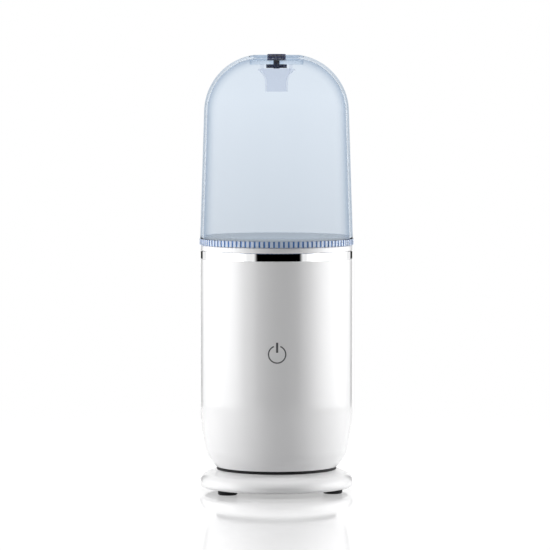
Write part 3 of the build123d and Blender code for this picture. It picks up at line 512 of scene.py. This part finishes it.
FINISHES = (
    (printed_casing(), ("outer_casing",)),
    (gloss_white("liner_gloss_white"), ("inner_liner",)),
    (gloss_white("base_gloss_white"), ("base_shell",)),
    (plated_ring(), ("trim_ring",)),
    # the neck ring's near black is partly its own colour and partly painted shade for the shadowed
    # gap between body and base
    (moulded("seam_black_and_gap_shade", NEAR_BLACK, rough=0.60, gloss=0.2), ("neck_ring",)),
    (cover_white(), ("bottom_cover",)),
    (rubber("foot_rubber", NEAR_BLACK, gloss=0.2), ("rubber_feet",)),
    (metal("zinc_screw", STEEL, rough=0.30, scale=500.0), SCREWS),
    (moulded("chassis_grey", CHASSIS_GREY, rough=0.50, strength=0.3), ("chassis_plate",)),
    (moulded("fan_frame_black", FAN_FRAME_BLACK, rough=0.45, strength=0.3), ("fan_frame",)),
    (moulded("fan_rotor_black", FAN_ROTOR_BLACK, rough=0.38), ("fan_rotor",)),
    (metal("sintered_bronze", BRONZE, rough=0.38, scale=900.0), ("fan_bush",)),
    (wound_stator(), ("fan_stator",)),
    (ground_shaft(), ("fan_shaft",)),
    (moulded("bonded_magnet", MAGNET_GREY, rough=0.50, strength=0.3), ("fan_magnet",)),
    (moulded("heat_proof_cream", HEAT_CREAM, rough=0.55, strength=0.25), ("heater_frame",)),
    (finned_heater(), ("ptc_heater",)),
    (circuit_board(), ("main_board", "usb_carrier", "touch_key_board", "lid_sensor")),
    (chip_bodies(), ("board_parts",)),
    (foil_pouch(), ("battery_pack",)),
    (metal("drawn_steel", STEEL, rough=0.25, scale=120.0, stretch=ROUND_THE_INLET), ("usb_port",)),
    (rubber("key_foam", FOAM_GREY, rough=0.85), ("touch_pad",)),
    (moulded("lamp_board_white", LAMP_BOARD_WHITE, rough=0.40), ("uv_boards",)),
    (lamp_packages(), ("uv_leds",)),
    (clear("window_quartz", QUARTZ, EDGE_QUARTZ, index=1.45, coat=0.0), ("uv_windows",)),
    (basket_white(), ("basket_sleeve", "basket_floor", "basket_divider")),
    (moulded("cup_milky", CUP_WHITE, rough=0.35, coat=0.2), ("drip_cup",)),
    (clear_dome(), ("lid_dome",)),
    (ribbed_ring(), ("lid_rim",)),
    (rubber("seal_silicone", SILICONE, rough=0.50), ("lid_seal",)),
    (metal("nickel_plate", DARK_NICKEL, rough=0.30, stretch=ROUND_THE_MAGNET), ("lid_magnet",)),
    (moulded("cap_navy", CAP_NAVY, rough=0.45, gloss=0.12), ("vent_cap",)),
    (moulded("nut_navy", NUT_NAVY, rough=0.45, gloss=0.25), ("vent_nut",)),
    (clear_funnel(), ("vent_funnel",)),
)

for finish, names in FINISHES:
    for name in names:
        for slot in nodes[name].material_slots:
            slot.material = finish.material


# ---------------------------------------------------------------- floor, room, lamps and camera
def floor_finish():
    """Grey gloss that shows paler to the eye and in reflections than its light on the object."""
    made = Finish("floor_white", FLOOR_COLOUR, rough=0.08)
    made.wander(*FLOOR_ROUGH, scale=20.0, detail=3.0)
    seen, mirrored, matt = made.rays()
    x, y, _ = made.parts(made.place)
    distance = made.length(x, y)
    side = made.math("ABSOLUTE", x)
    share = made.math("DIVIDE", side, made.math("ADD", distance, FLOOR_MIDDLE))
    glow = made.math("MULTIPLY", seen, FLOOR_GLOW)
    shine = made.math("MULTIPLY", mirrored, made.eased(share, *FLOOR_SHINE, *FLOOR_SIDES))
    bounce = made.math("MULTIPLY", matt, made.eased(share, 0.0, FLOOR_BOUNCE, *FLOOR_SIDES))
    made.give("Emission Color", PLAIN_WHITE)
    made.give("Emission Strength", made.math("ADD", made.math("ADD", glow, shine), bounce))

    away = made.eased(distance, 0.0, 1.0, *FLOOR_FADE)
    card = made.math("LESS_THAN", side, made.math("MULTIPLY", distance, FLOOR_CARD))
    card = made.math("MULTIPLY", made.math("MULTIPLY", card, mirrored), away)
    darker = made.math("MULTIPLY", card, FLOOR_CARD_DEPTH)
    plain = made.add("ShaderNodeEmission")
    made.feed(plain.inputs["Strength"], made.math("SUBTRACT", 1.0, darker))
    faded = made.add("ShaderNodeMixShader")
    made.feed(faded.inputs[0], made.math("MULTIPLY", away, made.math("MAXIMUM", seen, mirrored)))
    made.feed(faded.inputs[1], made.shader.outputs["BSDF"])
    made.feed(faded.inputs[2], plain.outputs["Emission"])
    made.feed(made.tree.nodes["Material Output"].inputs["Surface"], faded.outputs["Shader"])
    return made


def pale_floor():
    """A round glossy floor that fades to plain white away from the object."""
    shape = bmesh.new()
    bmesh.ops.create_circle(shape, cap_ends=True, segments=FLOOR_SEGMENTS, radius=FLOOR_RADIUS)
    mesh = bpy.data.meshes.new("floor")
    shape.to_mesh(mesh)
    shape.free()
    mesh.materials.append(floor_finish().material)
    floor = bpy.data.objects.new("floor", mesh)
    bpy.context.scene.collection.objects.link(floor)


def white_room():
    """White to look at, soft grey on matt surfaces, and in reflections with dark cards."""
    world = bpy.data.worlds.new("room")
    bpy.context.scene.world = world
    world.use_nodes = True
    world.node_tree.nodes.clear()
    room = Nodes(world.node_tree)
    seen, mirrored, matt = room.rays()
    x, y, z = room.parts(room.add("ShaderNodeTexCoord").outputs["Generated"])
    side = room.math("ABSOLUTE", x)
    forward = room.math("MULTIPLY", y, -math.cos(FRONT_CARD_TURN))
    forward = room.math("ADD", forward, room.math("MULTIPLY", x, math.sin(FRONT_CARD_TURN)))
    front = room.eased(forward, 0.0, 1.0, *FRONT_CARD)
    inner = room.eased(side, 0.0, 1.0, *REAR_CARD_INNER)
    outer = room.eased(side, 1.0, 0.0, *REAR_CARD_OUTER)
    behind = room.math("GREATER_THAN", y, 0.0)
    rear = room.math("MULTIPLY", room.math("MULTIPLY", inner, outer), behind)
    low = room.math("LESS_THAN", room.math("ABSOLUTE", z), CARD_HEIGHT)
    cards = room.math("MULTIPLY", room.math("MAXIMUM", front, rear), low)
    shine = room.math("ADD", 1.0, room.eased(side, 0.0, SIDE_SHINE, *SIDE_REACH))
    reflection = room.math("MULTIPLY", room.math("SUBTRACT", 1.0, cards), shine)
    looks = room.math("MAXIMUM", seen, room.math("MULTIPLY", mirrored, reflection))
    level = room.math("ADD", looks, room.math("MULTIPLY", matt, ROOM_GREY))
    background = room.add("ShaderNodeBackground")
    background.inputs["Color"].default_value = PLAIN_WHITE
    room.feed(background.inputs["Strength"], level)
    output = room.add("ShaderNodeOutputWorld")
    room.feed(output.inputs["Surface"], background.outputs["Background"])


def soft_lamp(name, place, size, power):
    """A soft lamp, aimed at the object and never seen itself: the room makes the reflections."""
    lamp = bpy.data.lights.new(name, "AREA")
    lamp.shape = "RECTANGLE"
    lamp.size, lamp.size_y = size
    lamp.energy = power
    made = bpy.data.objects.new(name, lamp)
    made.visible_camera = False
    made.visible_glossy = False
    made.visible_transmission = False
    made.location = place
    made.rotation_euler = (AIM - Vector(place)).to_track_quat("-Z", "Y").to_euler()
    bpy.context.scene.collection.objects.link(made)


def lamps():
    for name, degrees in SIDE_LAMP_TURNS.items():
        turn = math.radians(degrees)
        side = SIDE_LAMP_DISTANCE * math.sin(turn)
        forward = -SIDE_LAMP_DISTANCE * math.cos(turn)
        soft_lamp(name, (side, forward, SIDE_LAMP_HEIGHT), SIDE_LAMP_SIZE, SIDE_LAMP_POWER)
    soft_lamp("top_softbox", TOP_LAMP_PLACE, TOP_LAMP_SIZE, TOP_LAMP_POWER)


def camera():
    lens = bpy.data.cameras.new("camera")
    lens.lens = CAMERA_LENS
    lens.sensor_width = CAMERA_SENSOR
    made = bpy.data.objects.new("camera", lens)
    made.location = CAMERA_PLACE
    made.rotation_euler = (math.radians(90.0 - CAMERA_TILT), 0, 0)
    bpy.context.scene.collection.objects.link(made)
    bpy.context.scene.camera = made


pale_floor()
white_room()
lamps()
camera()
bpy.context.scene.view_settings.view_transform = "Standard"
